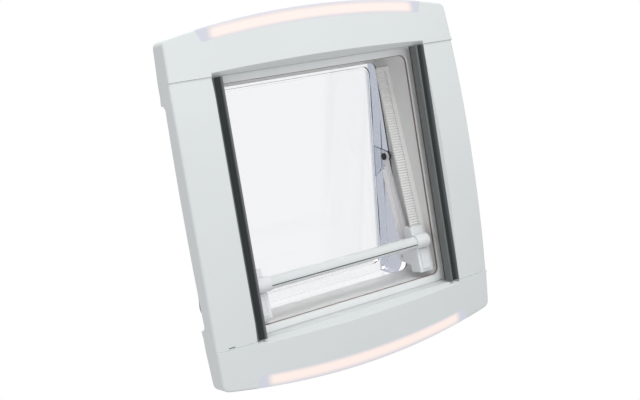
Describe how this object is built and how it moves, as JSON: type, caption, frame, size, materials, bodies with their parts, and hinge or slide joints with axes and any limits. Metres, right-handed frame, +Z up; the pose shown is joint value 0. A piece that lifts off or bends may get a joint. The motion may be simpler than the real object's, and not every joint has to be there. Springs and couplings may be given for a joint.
{
  "type": "camper roof hatch",
  "caption": "Square camper roof hatch: roof frame with collar, hinged double glazed dome, lift arms with a push bar on toothed racks, and a crowned room-side trim with light strips.",
  "frame": {"origin": "centre of the roof cut-out, on the roof skin under the flange of the roof frame", "axes": "+X across the hatch, +Y from the hinge end to the opening end, +Z up and out of the roof"},
  "size_m": [0.542, 0.574, 0.2138],
  "materials": {
    "white_plastic": "satin",
    "diffuser": "satin",
    "guide": "dark anodised",
    "seal": "matte",
    "glazing": "clear acrylic",
    "bar": "coated white",
    "steel": "plain"
  },
  "bodies": {
    "frame": {"roof_frame": "white_plastic", "rim_seal": "seal", "lining_ring": "white_plastic", "opening_end_rail": "white_plastic", "opening_end_light": "diffuser", "hinge_end_rail": "white_plastic", "hinge_end_light": "diffuser", "right_side_rail": "white_plastic", "left_side_rail": "white_plastic", "right_guide": "guide", "left_guide": "guide", "right_rack": "white_plastic", "left_rack": "white_plastic", "right_outer_ear": "white_plastic", "left_outer_ear": "white_plastic", "right_inner_ear": "white_plastic", "left_inner_ear": "white_plastic", "right_hinge_pin": "steel", "left_hinge_pin": "steel"},
    "lid": {"outer_dome": "glazing", "inner_pane": "glazing", "right_lid_lug": "white_plastic", "left_lid_lug": "white_plastic", "right_bracket": "glazing", "left_bracket": "glazing", "right_arm_bolt": "steel", "left_arm_bolt": "steel"},
    "lift_arms": {"right_arm": "white_plastic", "left_arm": "white_plastic"},
    "slider": {"right_block": "white_plastic", "left_block": "white_plastic", "right_foot_pin": "steel", "left_foot_pin": "steel", "right_button": "white_plastic", "left_button": "white_plastic", "push_bar": "bar"}
  },
  "joints": [
    {"name": "lid_hinge", "type": "hinge", "parent": "frame", "child": "lid", "pos_m": [0, -0.214, 0.04], "axis": [1, 0, 0], "range_deg": [-9, 41]},
    {"name": "arm_pivot", "type": "hinge", "parent": "lid", "child": "lift_arms", "pos_m": [0, -0.02, 0.04], "axis": [-1, 0, 0], "range_deg": [-19.08, 86.92]},
    {"name": "slider_pivot", "type": "hinge", "parent": "lift_arms", "child": "slider", "pos_m": [0, 0.152, 0.008], "axis": [1, 0, 0], "range_deg": [-10.08, 45.92]}
  ],
  "couplings": [
    {"joint": "arm_pivot", "follows": "lid_hinge", "ratio": 2.12},
    {"joint": "slider_pivot", "follows": "lid_hinge", "ratio": 1.12}
  ]
}
